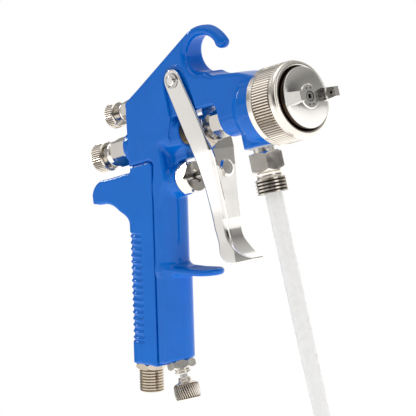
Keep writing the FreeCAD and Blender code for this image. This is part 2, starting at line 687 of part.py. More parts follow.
def valve_stud():
    """The riveted stud on the trigger that pushes the air valve."""
    return turned(AIR_VALVE_Z, (-28.3, 0), (-28.4, 3.6), (-29.0, STUD_RADIUS), (-29.5, STUD_RADIUS),
                  (-29.5, 2.55), (-31.6, 2.55), (-31.6, 3.4), (-33.5, 3.0), (-33.5, 0))


def pivot_pin():
    px, pz = PIVOT
    pin = Part.Face(outline((0, -11.6), (2.0, -11.6), (PIVOT_RADIUS, -11.2), (PIVOT_RADIUS, -10.95),
                            (1.9, -10.95), (1.9, -10.25), (PIVOT_RADIUS, -10.25),
                            (PIVOT_RADIUS, 10.2), (3.9, 10.2), (3.9, 11.2), (3.2, 11.9), (0, 11.9)))
    pin = pin.revolve(ORIGIN, Z_AXIS, 360)
    pin.rotate(ORIGIN, X_AXIS, -90)
    pin.translate(at(px, pz))
    return pin


def pivot_clip():
    """The E-clip in the pin's groove, open towards the top rear."""
    px, pz = PIVOT
    disc = Part.makeCylinder(4.1, 0.6, ORIGIN, Y_AXIS).cut(Part.makeCylinder(1.95, 3, V(0, -1, 0), Y_AXIS))
    mouth = Part.makeBox(2.6, 3, 6, V(-1.3, -1, 0))
    cuts = [mouth]
    for turn in (60, -60):
        lobe = Part.makeCylinder(1.0, 3, V(0, -1, 2.9), Y_AXIS)
        lobe.rotate(ORIGIN, Y_AXIS, turn * 2)
        cuts.append(lobe)
    clip = disc.cut(cuts)
    clip.rotate(ORIGIN, Y_AXIS, -25)
    clip.translate(V(px, -10.9, pz))
    return clip


# ------------------------------------------------------------------ air side
def air_inlet_nipple():
    """Drawn down the grip's axis from the cover's foot."""
    foot = GRIP_FOOT
    steps = thread_steps(PIPE_1_4, -foot - 4.6, -foot - 15.4)
    body = spun((3.4, -foot + 11.5), (5.5, -foot + 11.5), (5.5, -foot - 0.05), (7.0, -foot - 0.05),
                (7.0, -foot - 3.6), (5.9, -foot - 4.0), *steps, (5.7, -foot - 16.0), (3.4, -foot - 16.0))
    hexagon = hexagon_z(14.6, -foot - 3.6, -foot - 0.05, 30).cut(post(3.4, -foot - 20, 0))
    nipple = body.fuse(hexagon)
    nipple.translate(V(AIR_INLET_U, 0, 0))
    return in_grip(nipple)


def flow_bushing():
    """The hexagonal bushing of the air flow valve with its short threaded neck."""
    bore = NEEDLE_RADIUS + FIT
    shape = spun((0, FLOOR_Z + 10), (5.0, FLOOR_Z + 10), (5.0, FLOOR_Z - 4.0), (4.3, FLOOR_Z - 4.4),
                 (4.3, FLOOR_Z - 5.2), (3.8, FLOOR_Z - 5.6), (4.3, FLOOR_Z - 6.0),
                 (4.3, FLOOR_Z - 6.8), (3.8, FLOOR_Z - 7.2), (3.6, FLOOR_Z - 7.6), (0, FLOOR_Z - 7.6))
    hexagon = hexagon_z(13.4, FLOOR_Z - 4.6, FLOOR_Z - 0.05, 15)
    room = post(3.1, FLOOR_Z + 2, FLOOR_Z + 11)
    bushing = shape.fuse(hexagon).cut([post(bore, -140, -90), room])
    bushing.translate(V(FLOW_X, 0, 0))
    return bushing


def flow_stem():
    top = FLOOR_Z + 13.5
    stem = spun((0, top), (1.0, top - 0.6), (NEEDLE_RADIUS, top - 3.6),
                (NEEDLE_RADIUS, FLOOR_Z - 9.2), (0, FLOOR_Z - 9.2))
    stem.translate(V(FLOW_X, 0, 0))
    return stem


def flow_stem_seal():
    seal = spun((NEEDLE_RADIUS + 0.01, FLOOR_Z + 5), (3.0, FLOOR_Z + 5), (3.0, FLOOR_Z + 7),
                (NEEDLE_RADIUS + 0.01, FLOOR_Z + 7))
    seal.translate(V(FLOW_X, 0, 0))
    return seal


def flow_knob():
    """The knob with its long smooth neck, wider towards its foot."""
    top = FLOOR_Z - 9.3
    head_top = FLOOR_Z - 12.3
    head_foot = FLOOR_Z - 21.4
    neck = spun((0, top), (3.3, top), (3.3, top - 1.8), (3.9, head_top), (6.1, head_top - 0.3),
                (6.6, head_top - 1.2), (7.0, head_foot + 1.2), (6.4, head_foot), (0, head_foot))
    neck.translate(V(FLOW_X, 0, 0))
    return neck


# ------------------------------------------------------------------ everything
PARTS = {
    "gun_body": gun_body,
    "rear_grip_cover": rear_grip_cover,
    "fluid_nozzle": fluid_nozzle,
    "nozzle_gasket": nozzle_gasket,
    "air_distributor": air_distributor,
    "air_cap": air_cap,
    "cap_snap_ring": cap_snap_ring,
    "retaining_ring": retaining_ring,
    "fluid_inlet_nipple": fluid_inlet_nipple,
    "inlet_washer": inlet_washer,
    "siphon_tube": siphon_tube,
    "fluid_needle": fluid_needle,
    "needle_collar": needle_collar,
    "packing_nut": packing_nut,
    "needle_packing": needle_packing,
    "needle_bushing": needle_bushing,
    "spring_cup": spring_cup,
    "needle_spring": needle_spring,
    "spring_rear_seat": spring_rear_seat,
    "spring_housing": spring_housing,
    "fluid_knob": fluid_knob,
    "pattern_bushing": pattern_bushing,
    "pattern_stem": pattern_stem,
    "pattern_stem_seal": pattern_stem_seal,
    "pattern_knob": pattern_knob,
    "air_valve_nut": air_valve_nut,
    "air_valve_stem": air_valve_stem,
    "air_valve_seal": air_valve_seal,
    "air_valve_spring": air_valve_spring,
    "trigger": trigger,
    "valve_stud": valve_stud,
    "pivot_pin": pivot_pin,
    "pivot_clip": pivot_clip,
    "air_inlet_nipple": air_inlet_nipple,
    "flow_bushing": flow_bushing,
    "flow_stem": flow_stem,
    "flow_stem_seal": flow_stem_seal,
    "flow_knob": flow_knob,
}

os.makedirs("parts", exist_ok=True)
for name, make in PARTS.items():
    part = make()
    part.translate(V(0, 0, INLET_MOUTH))
    box = part.BoundBox
    print(f"{name}: {len(part.Solids)} solid, valid {part.isValid()}, {part.Volume:.0f} mm3,"
          f" x {box.XMin:.1f}..{box.XMax:.1f}, z {box.ZMin:.1f}..{box.ZMax:.1f}")
    part.exportStep(f"parts/{name}.step")
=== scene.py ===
import math

import bpy
import numpy as np
import openvdb
from mathutils import Matrix, Vector


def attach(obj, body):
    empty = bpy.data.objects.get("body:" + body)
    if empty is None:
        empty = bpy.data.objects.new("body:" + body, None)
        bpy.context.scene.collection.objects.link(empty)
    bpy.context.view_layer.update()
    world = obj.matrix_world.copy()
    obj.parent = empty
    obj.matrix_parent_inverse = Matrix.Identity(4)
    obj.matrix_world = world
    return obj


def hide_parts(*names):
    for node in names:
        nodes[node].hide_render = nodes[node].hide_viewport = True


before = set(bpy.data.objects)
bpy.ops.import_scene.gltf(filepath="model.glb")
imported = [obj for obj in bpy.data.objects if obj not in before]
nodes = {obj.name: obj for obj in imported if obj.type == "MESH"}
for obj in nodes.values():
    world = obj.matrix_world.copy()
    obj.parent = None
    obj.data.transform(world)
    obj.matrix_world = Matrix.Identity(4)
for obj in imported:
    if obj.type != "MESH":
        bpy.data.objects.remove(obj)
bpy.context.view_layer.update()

# Lengths are millimetres in the gun's own frame: x forward, z up, the needle's axis at y = z = 0.
# The row frame's origin is LIFT below that axis, and is in metres.
LIFT = 42.6
HALF = 9.3                 # half the width of the flat casting
TILT = math.radians(15)    # lean of the grip
GRIP = (-74.0, -10.0)      # top of the grip's seam
FOOT = 111.5               # down the grip to the end of its cover
FLOOR = -116.5             # height of the casting's foot
SEAM_Z = -9.6              # height of the seam above the cover
PATTERN_Z = 20.2           # axis of the fan pattern valve
VALVE_Z = -23.4            # axis of the air valve
REST_S = 58.4              # down the grip to the finger rest
BOSS = 8.6                 # radius of the packing boss, the air valve's boss and the rest's end
FLOW_X = -94.3             # axis of the air flow valve
AIR_INLET_U = -14.6        # axis of the air inlet, across the grip
PIVOT = (-45.6, 27.5)      # trigger pin, x and z
HOOK_OUTER = (-25.0, 35.2, 16.8)   # circles (x, z, r) of the hook's two edges
HOOK_INNER = (-25.5, 37.0, 9.8)

# ------------------------------------------------------------------ distance fields


def join(a, b, r):
    """Union of two distance fields with a fillet of radius r."""
    if r == 0:
        return np.minimum(a, b)
    return np.maximum(r, np.minimum(a, b)) - np.hypot(np.maximum(r - a, 0), np.maximum(r - b, 0))


def meet(a, b, r):
    """Intersection of two distance fields with a rounded edge of radius r."""
    return np.minimum(-r, np.maximum(a, b)) + np.hypot(np.maximum(r + a, 0), np.maximum(r + b, 0))


def ramp(value, start, end):
    """0 before start, 1 after end, smooth between."""
    t = np.clip((value - start) / (end - start), 0, 1)
    return t * t * (3 - 2 * t)


def trace(*steps):
    """Points of a closed outline. A step is a point, or a pair: an arc through the first to the second."""
    points = [steps[0]]
    for step in steps[1:]:
        if not isinstance(step[0], tuple):
            points.append(step)
            continue
        (ax, ay), (bx, by), (cx, cy) = points[-1], step[0], step[1]
        d = 2 * (ax * (by - cy) + bx * (cy - ay) + cx * (ay - by))
        a2, b2, c2 = ax * ax + ay * ay, bx * bx + by * by, cx * cx + cy * cy
        ox = (a2 * (by - cy) + b2 * (cy - ay) + c2 * (ay - by)) / d
        oy = (a2 * (cx - bx) + b2 * (ax - cx) + c2 * (bx - ax)) / d
        r = math.hypot(ax - ox, ay - oy)
        start = math.atan2(ay - oy, ax - ox)
        mid = (math.atan2(by - oy, bx - ox) - start) % (2 * math.pi)
        turn = (math.atan2(cy - oy, cx - ox) - start) % (2 * math.pi)
        if mid > turn:
            turn -= 2 * math.pi
        count = max(3, int(abs(turn) * r / 0.8))
        for k in range(1, count + 1):
            a = start + turn * k / count
            points.append((ox + r * math.cos(a), oy + r * math.sin(a)))
    return points


def inside(points, px, pz):
    """Signed distance to a closed outline."""
    best = np.full(np.broadcast(px, pz).shape, 1e9, np.float32)
    within = np.zeros(best.shape, bool)
    for (ax, az), (bx, bz) in zip(points, points[1:] + points[:1]):
        ex, ez = bx - ax, bz - az
        if ex * ex + ez * ez < 1e-9:
            continue
        wx, wz = px - ax, pz - az
        t = np.clip((wx * ex + wz * ez) / (ex * ex + ez * ez), 0, 1)
        best = np.minimum(best, (wx - ex * t) ** 2 + (wz - ez * t) ** 2)
        if abs(ez) > 1e-9:
            within ^= ((az <= pz) != (bz <= pz)) & (px < ax + (pz - az) / ez * ex)
    return np.where(within, -1, 1) * np.sqrt(best)


def grip_point(u, s):
    """The point u across the grip's seam and s down it."""
    return (GRIP[0] + u * math.cos(TILT) - s * math.sin(TILT),
            GRIP[1] - u * math.sin(TILT) - s * math.cos(TILT))


def to_grip(x, z):
    """Across and down the grip's seam, from x and z."""
    dx, dz = x - GRIP[0], z - GRIP[1]
    return dx * math.cos(TILT) - dz * math.sin(TILT), -dx * math.sin(TILT) - dz * math.cos(TILT)


def rod(x, y, z, x0, x1, r, zc=0.0, edge=0.0):
    """A cylinder along x at height zc."""
    return meet(np.hypot(y, z - zc) - r, np.abs(x - (x0 + x1) / 2) - abs(x1 - x0) / 2, edge)


class Casting:
    """A solid symmetric about y = 0, held as distances on a grid over y >= 0."""

    def __init__(self, low, high, step):
        self.step = step
        self.x = np.arange(low[0], high[0], step, dtype=np.float32)
        self.y = np.arange(0, high[1], step, dtype=np.float32)
        self.z = np.arange(low[1], high[2], step, dtype=np.float32)
        self.d = np.full((len(self.x), len(self.y), len(self.z)), 30, np.float32)

    def near(self, box):
        """The part of the grid in a box (x0, x1, y1, z0, z1), with its coordinates."""
        x0, x1, y1, z0, z1 = box
        i = slice(np.searchsorted(self.x, x0), np.searchsorted(self.x, x1))
        j = slice(0, np.searchsorted(self.y, y1))
        k = slice(np.searchsorted(self.z, z0), np.searchsorted(self.z, z1))
        return (i, j, k), self.x[i, None, None], self.y[None, j, None], self.z[None, None, k]

    def add(self, box, shape, r=0.0):
        part, x, y, z = self.near(box)
        self.d[part] = join(self.d[part], shape(x, y, z), r)

    def cut(self, box, shape, r=0.0):
        part, x, y, z = self.near(box)
        self.d[part] = meet(self.d[part], -shape(x, y, z), r)

    def mesh(self, name, matter):
        """The smooth surface where the distance is 0, as an object in metres in the row frame."""
        whole = np.ascontiguousarray(np.concatenate([self.d[:, :0:-1], self.d], 1))
        low = np.array([self.x[0], -self.y[-1], self.z[0]])
        grid = openvdb.FloatGrid(3 * self.step)
        grid.copyFromArray(np.clip(whole, -3 * self.step, 3 * self.step))
        points, quads = grid.convertToQuads(0.0)
        slope = np.zeros(points.shape)
        for axis in range(3):
            for side in (-0.7, 0.7):
                moved = points.astype(float)
                moved[:, axis] += side
                slope[:, axis] += side * self.sample(whole, moved)
        slope /= np.linalg.norm(slope, axis=1)[:, None] + 1e-9
        place = (low + points * self.step + [0, 0, LIFT]) / 1000
        a, b, c = (place[quads[:, k]] for k in (0, 1, 2))
        facing = np.cross(b - a, c - a)
        if (facing * slope[quads[:, 0]]).sum() < 0:
            quads = quads[:, ::-1]
        data = bpy.data.meshes.new(name)
        data.from_pydata(place.tolist(), [], quads.tolist())
        data.polygons.foreach_set("use_smooth", np.ones(len(quads), bool))
        data.normals_split_custom_set_from_vertices(slope.tolist())
        data.materials.append(matter)
        thing = bpy.data.objects.new(name, data)
        bpy.context.scene.collection.objects.link(thing)
        return thing

    @staticmethod
    def sample(values, p):
        """Trilinear values at grid positions p."""
        base = np.clip(np.floor(p).astype(int), 0, np.array(values.shape) - 2)
        f = p - base
        total = 0
        for i in (0, 1):
            for j in (0, 1):
                for k in (0, 1):
                    weight = np.abs(1 - i - f[:, 0]) * np.abs(1 - j - f[:, 1]) * np.abs(1 - k - f[:, 2])
                    total = total + weight * values[base[:, 0] + i, base[:, 1] + j, base[:, 2] + k]
        return total


def on_circle(circle, angle):
    """A point of a circle (x, z, r) at an angle in degrees."""
    x, z, r = circle
    return (x + r * math.cos(math.radians(angle)), z + r * math.sin(math.radians(angle)))


def body_outline():
    """The casting from the side: hook, top of the head, window, grip and rear block."""
    outer_tip, inner_tip = on_circle(HOOK_OUTER, 19.1), on_circle(HOOK_INNER, 22.2)
    tip = ((outer_tip[0] + inner_tip[0]) / 2, 40.7 - (outer_tip[0] - inner_tip[0]) / 2)
    return trace(
        on_circle(HOOK_OUTER, 115.7), (on_circle(HOOK_OUTER, 65), outer_tip),
        (tip, inner_tip),
        (on_circle(HOOK_INNER, 100), on_circle(HOOK_INNER, 180)),
        (on_circle(HOOK_INNER, 235), on_circle(HOOK_INNER, 282)),
        ((-19.0, 24.6), (-13.9, 23.7)), (-6.0, 22.6), ((4.0, 20.4), (12.5, 16.4)), (12.5, 0.0),
        (-19.5, 0.0), (-19.5, 5.7),
        ((-20.5, 8.2), (-23.0, 9.2)), (-53.5, 9.2), (-58.0, 0.5), ((-60.5, -1.6), (-66.0, -2.4)),
        (-67.2, -22.0),
        grip_point(4.6, 24.0), grip_point(4.8, 57.5), grip_point(6.4, 61.0), grip_point(6.6, 118.0),
        grip_point(0.0, 118.0), grip_point(0.0, 3.6), ((-75.2, -10.4), (-77.0, SEAM_Z)),
        (-92.9, SEAM_Z), (-86.2, 20.5),
        ((-86.2, 23.2), (-84.2, 25.1)))


def shape_slab(c):
    """The flat casting, with its edges rounder and its width less toward the hook's tip."""
    x, z = c.x[:, None], c.z[None, :]
    flat = inside(body_outline(), x, z)
    u, s = to_grip(x, z)
    edge = 1.5 + 1.9 * ramp(z, 16, 30) + 0 * x
    edge = np.where((u < 3.5) & (s > 0.5) & (z < -5.5), 1.5, edge)
    taper = np.where(z > 24, HALF - (z - 24) * 0.1028, HALF) - 4.1 * ramp(x, -32, -11) * ramp(z, 30, 38)
    side_face = c.y[None, :, None] - taper[:, None, :]
    c.d[:] = meet(flat[:, None, :], side_face, edge[:, None, :].astype(np.float32))


def add_head(c):
    """The round head, the nose for the ring and the fluid inlet's boss."""
    c.add((-28, 25, 21, -22, 25), lambda x, y, z: rod(x, y, z, -19.5, 6, 9.2, 0, 1.8))
    profile = trace((-7.4, 0.0), (-7.4, 7.0), ((-5.0, 11.4), (-1.6, 14.0)), ((0.2, 16.0), (3.2, 17.6)),
                    (13.3, 17.6), (13.3, 0.0))
    c.add((-22, 16, 21, -24, 25), lambda x, y, z: inside(profile, x + 0 * y * z, np.hypot(y, z) + 0 * x), 2.4)
    c.add((-16, 13, 15, -22, 2), lambda x, y, z: meet(np.hypot(x, y) - 10.0, np.abs(z + 8) - 10, 0.7), 1.0)
    c.add((12, 25, 21, -20, 20), lambda x, y, z: rod(x, y, z, 5, 22, 17.2, 0, 0.5))


def add_bosses(c):
    """The packing boss, its web and the air valve's boss, and the needle's boss at the rear."""
    c.add((-82, -48, 21, -14, 14), lambda x, y, z: rod(x, y, z, -80, -51, BOSS, 0, 0.9), 2.0)
    web = trace((-74, -2), (-52.4, -2), (-52.6, -13.4), (-60.0, -13.9), (-74, -15.5))
    c.add((-80, -49, 21, -19, 2), lambda x, y, z: meet(
        inside(web, x[:, 0], z[0])[:, None, :], y - 3.6, 1.0), 2.6)
    c.add((-82, -57, 21, -38, -9), lambda x, y, z: meet(
        rod(x, y, z, -80, -60.5, BOSS, VALVE_Z, 0.8), -to_grip(x, z)[0] + 0.4, 0.3), 2.6)
    c.add((-98, -76, 21, -13, 13), lambda x, y, z: meet(
        rod(x, y, z, -94.5, -84, 9.2, 0, 1.3), SEAM_Z - z + 0 * x, 0.3))


def add_grip_front(c):
    """The round front of the grip and the finger rest on it."""
    def tube(x, y, z):
        """The round front of the grip, a little wider under the finger rest."""
        u, s = to_grip(x, z)
        upper = np.hypot(u - 4.0, y) - HALF
        upper = np.where(s < 18, np.sqrt((u - 4.0) ** 2 + y * y + (s - 18) ** 2) - HALF, upper)
        lower = meet(np.hypot(u - 5.9, y) - HALF, 60.0 - s, 1.6)
        both = join(meet(upper, s - 62, 0.1), lower, 1.2)
        return meet(both, -u, 0.5)
    c.add((-101, -58, 21, -119, -14), tube, 1.6)

    def rest(x, y, z):
        """The finger rest, a drooping tongue with a round end."""
        u, s = to_grip(x, z)
        reach = np.hypot(np.maximum(u - 30.8, 0), y) - BOSS
        plate = meet(reach, np.abs(s - REST_S + 0.06 * np.maximum(u - 22, 0)) - 1.75, 1.5)
        return np.maximum(plate, -u + 1)
    c.add((-92, -48, 21, -82, -50), rest, 3.0)


def cut_recess(c):
    """The shallow recess in each side under the trigger's arms."""
    recess = trace((-33.6, -6.0), (-33.6, 9.0), (-35.4, 26.3), ((-38.4, 32.9), (-44.6, 35.2)),
                   ((-50.9, 32.9), (-53.2, 26.5)), (-53.8, 9.0), (-58.5, 0.0), (-58.5, -6.0))
    c.cut((-62, -30, 21, -8, 39), lambda x, y, z: meet(
        inside(recess, x[:, 0], z[0])[:, None, :], 7.6 - y, 0.5), 0.7)


def cut_bores(c):
    """The flat foot, then the bores for the nozzle, needle, valves, inlets and knobs."""
    c.cut((-101, -60, 21, -119, -108), lambda x, y, z: np.float32(0) * x * y + (z - FLOOR), 1.3)
    c.cut((5.5, 25, 21, -9, 9), lambda x, y, z: rod(x, y, z, 6, 30, 7.1))
    c.cut((-22, 9, 21, -6, 6), lambda x, y, z: rod(x, y, z, -30, 8, 2.6))
    c.cut((-23, -5, 21, -8, 8), lambda x, y, z: rod(x, y, z, -30, -7.5, 5.2), 0.4)
    c.cut((-99, -48, 21, -10, 10), lambda x, y, z: rod(x, y, z, -99, -48, 6.95), 0.4)
    c.cut((-98, -64, 21, 12, 28), lambda x, y, z: rod(x, y, z, -99, -66, 4.3, PATTERN_Z))
    c.cut((-99, -84, 21, 12, 30), lambda x, y, z: rod(x, y, z, -99, -86.8, 6.6, PATTERN_Z), 0.6)
    c.cut((-90, -57, 21, -32, -15), lambda x, y, z: rod(x, y, z, -86, -57, 5.3, VALVE_Z), 0.4)
    c.cut((-8, 8, 21, -21, 0), lambda x, y, z: meet(np.hypot(x, y) - 6.1, np.abs(z + 14) - 9, 0), 0.3)
    c.cut((-101, -86, 21, -119, -96), lambda x, y, z: meet(
        np.hypot(x - FLOW_X, y) - 5.3, np.abs(z + 110) - 12, 0), 0.3)


def cast_body(matter):
    """The casting: a flat slab with everything round joined to it, then bored."""
    c = Casting((-101, -119), (25, 21, 54), 0.5)
    shape_slab(c)
    add_head(c)
    add_bosses(c)
    add_grip_front(c)
    cut_recess(c)
    cut_bores(c)
    return c.mesh("cast_body", matter)


def cast_cover(matter):
    """The ribbed shell on the back of the grip, with its spur."""
    c = Casting((-129, -121), (-68, 13, -5), 0.45)
    gap = 0.75
    spur = trace(
        (-77.4, SEAM_Z - gap), (-92.9, SEAM_Z - gap), ((-93.4, -12.2), (-96.0, -12.6)), (-114.0, -12.7),
        ((-122.6, -14.6), (-126.2, -19.0)), (-126.6, -22.2), ((-126.4, -24.4), (-124.2, -24.9)),
        (-117.0, -25.6),
        ((-109.0, -30.0), grip_point(-23.9, 33.0)), grip_point(-23.9, 36.0), grip_point(-23.9, FOOT),
        grip_point(-gap, FOOT), grip_point(-gap, 3.9), ((-75.9, -10.9), (-77.4, SEAM_Z - gap)))
    x, z = c.x[:, None], c.z[None, :]
    u, s = to_grip(x, z)
    flat = inside(spur, x, z)
    edge = np.where((u > -4) | ((z > -12.4) & (x > -92)), 0.55, 1.9 - 0.5 * ramp(s, 100, 108)) + 0 * x
    d = meet(flat[:, None, :], c.y[None, :, None] - HALF, edge[:, None, :].astype(np.float32))
    u3, s3, y3 = u[:, None, :], s[:, None, :], c.y[None, :, None]
    back = np.hypot(np.minimum(u3 - AIR_INLET_U, 0), y3) - HALF
    spine = ramp(s3, 24, 37)
    d = np.maximum(d, back * spine - 3.0 * (1 - spine))
    pitch, last, depth = 3.45, 16, 0.85
    turn = (s3 - 42.5) / pitch
    ridge = np.clip(1 - np.abs(turn - np.round(turn)) * pitch / 0.95, 0, 1) ** 0.8
    reach = ramp(turn, -0.75, -0.35) * (1 - ramp(turn, last + 0.35, last + 0.75))
    reach = reach * (1 - ramp(u3, -11.2, -9.4))
    d = d + depth * (1 - ridge) * reach
    tongue = inside(trace((-70, -6), (-92, -6), (-92, -20), grip_point(-8, 40), grip_point(-8, FOOT - 1.5),
                          grip_point(2, FOOT - 1.5), grip_point(2, 0)), x, z)[:, None, :]
    c.d[:] = np.minimum(d, meet(tongue, y3 - 7.2, 0.3))
    c.cut((-101, -68, 21, -11, 0), lambda x, y, z: rod(x, y, z, -99, -60, 9.4, 0))
    c.cut((-101, -60, 21, -32, -15), lambda x, y, z: rod(x, y, z, -98, -60, 5.3, VALVE_Z))
    c.cut((-118, -92, 21, -121, -108), lambda x, y, z: meet(
        np.hypot(to_grip(x, z)[0] - AIR_INLET_U, y) - 6.2, np.abs(to_grip(x, z)[1] - FOOT) - 6, 0), 0.3)
    return c.mesh("grip_cover_shell", matter)


def formed_trigger(matter):
    """The folded sheet: flat arms, a rolled front web and a flared foot."""
    c = Casting((-54, -76.5), (-16, 13, 36), 0.36)
    px, pz = PIVOT
    front = [(-34.1, 9.6), (-31.0, -3.0), (-28.9, -12.9), (-29.2, -22.0), (-30.3, -34.0), (-31.6, -50.0)]
    outer = trace((px - 6.0, pz - 1.5), ((px - 0.6, pz + 6.0), (px + 6.0, pz + 0.6)), *front,
                  ((-30.2, -65.2), (-21.9, -72.3)), ((-20.9, -73.2), (-21.9, -74.1)), (-31.0, -74.0),
                  ((-38.0, -71.6), (-41.6, -65.5)), (-42.8, -53.0), (-42.0, -30.0), (-43.4, -7.4))
    inner = trace((px, 40.0), (front[0][0] - 6.7, 32.0), *[(a - 1.75, b) for a, b in front],
                  (-33.9, -64.0), (-38.5, -70.2), (-60.0, -70.5), (-60.0, 40.0))
    x, z = c.x[:, None], c.z[None, :]
    half = 10.0 - 3.6 * ramp(-z, 2.0, 52.0) + 1.1 * ramp(-z, 60.0, 72.0)
    half = half - 3.4 * ramp(x, -32, -20) * ramp(-z, 60, 69)
    half = half[:, None, :]
    y = c.y[None, :, None]
    roll = (0.6 + 2.1 * ramp(-z, 2, 20) * (1 - ramp(-z, 58, 70)) + 0 * x)[:, None, :]
    shell = meet(inside(outer, x, z)[:, None, :], y - half, roll)
    hollow = meet(inside(inner, x, z)[:, None, :], y - half + 1.7, np.maximum(roll - 1.4, 0.2))
    c.d[:] = meet(shell, -hollow, 0.45)
    c.cut((-54, -16, 8.6, -1, 36), lambda x, y, z: meet(y - 8.3 + 0 * x, -z - 1.0, 0), 0.4)
    c.cut((-54, -16, 13, -10, 8), lambda x, y, z: join(
        np.hypot(y, z + 3.0) + 0 * x - 5.0, meet(y - 5.0 + 0 * x, -z - 3.0, 0), 0), 0.7)
    c.cut((-50, -41, 13, 23, 32), lambda x, y, z: np.hypot(x - px, z - pz) - 2.6 + 0 * y, 0.2)
    c.cut((-38, -24, 13, -28, -18), lambda x, y, z: np.hypot(y, z - VALVE_Z) - 2.65 + 0 * x, 0.2)
    return c.mesh("formed_trigger", matter)


def revolve(name, matter, x, z_at, rings, around, relief):
    """A turned piece about a vertical axis, from (height, radius) rings plus relief(height, turn)."""
    points, faces = [], []
    for height, r in rings:
        for k in range(around):
            turn = 2 * math.pi * k / around
            far = r + (relief(height, turn) if r > 0.05 else 0)
            place = (x + far * math.cos(turn), far * math.sin(turn), z_at + height + LIFT)
            points.append(tuple(v / 1000 for v in place))
    for i in range(len(rings) - 1):
        for k in range(around):
            n = (k + 1) % around
            faces.append((i * around + k, i * around + n, (i + 1) * around + n, (i + 1) * around + k))
    data = bpy.data.meshes.new(name)
    data.from_pydata(points, [], faces)
    data.polygons.foreach_set("use_smooth", np.ones(len(faces), bool))
    data.materials.append(matter)
    thing = bpy.data.objects.new(name, data)
    bpy.context.scene.collection.objects.link(thing)
    return thing


def knurled_flow_knob(matter):
    """The long-necked knob with its slanting knurl."""
    rings = [(-21.4, 0.01), (-21.4, 5.6), (-21.2, 6.2), (-20.6, 6.6)]
    rings += [(-20.6 + 7.0 * k / 28, 6.6 + 0.25 * math.cos(math.pi * (k / 28 - 0.5))) for k in range(29)]
    rings += [(-13.4, 6.5), (-12.8, 6.1), (-12.4, 5.2), (-12.2, 4.4), (-11.8, 3.8), (-11.0, 3.4)]
    rings += [(-9.4, 3.3), (-9.3, 3.0), (-9.3, 0.01)]

    def relief(height, turn):
        band = ramp(height, -20.7, -20.1) * (1 - ramp(height, -13.9, -13.4))
        wave = math.cos(34 * turn + 1.15 * (height + 17))
        return 0.32 * band * (abs(wave) ** 0.7 * (1 if wave > 0 else -1) - 0.3)
    return revolve("flow_knob_knurled", matter, FLOW_X, FLOOR, rings, 340, relief)


# ------------------------------------------------------------------ materials
def add_node(tree, kind, values, links, **options):
    """A shader node with its options, its constant inputs and its incoming links."""
    made = tree.nodes.new("ShaderNode" + kind)
    for key, value in options.items():
        setattr(made, key, value)
    for key, value in values.items():
        made.inputs[key].default_value = value
    for key, source in links.items():
        tree.links.new(source, made.inputs[key])
    return made


def groove_shade_mask(tree, place, lengthwise, centre, start, full, low, high):
    """A mask from 0 to 1 by distance from an axis (start to full), between two stations along it, for painted
    shade.
    """
    along, across = ((1, 0, 0), (0, 1, 1)) if lengthwise == "X" else ((0, 0, 1), (1, 1, 0))
    centre = tuple(v / 1000 for v in centre)
    moved = add_node(tree, "VectorMath", {1: centre}, {0: place}, operation="SUBTRACT")
    flat = add_node(tree, "VectorMath", {1: across}, {0: moved.outputs[0]}, operation="MULTIPLY")
    far = add_node(tree, "VectorMath", {}, {0: flat.outputs[0]}, operation="LENGTH")
    span = {"From Min": start / 1000, "From Max": full / 1000}
    fade = add_node(tree, "MapRange", span, {"Value": far.outputs["Value"]})
    station = add_node(tree, "VectorMath", {1: along}, {0: place}, operation="DOT_PRODUCT")
    within = add_node(tree, "Math", {1: (low + high) / 2000, 2: (high - low) / 2000},
                      {0: station.outputs["Value"]}, operation="COMPARE")
    both = add_node(tree, "Math", {}, {0: fade.outputs[0], 1: within.outputs[0]}, operation="MULTIPLY")
    return both.outputs[0]


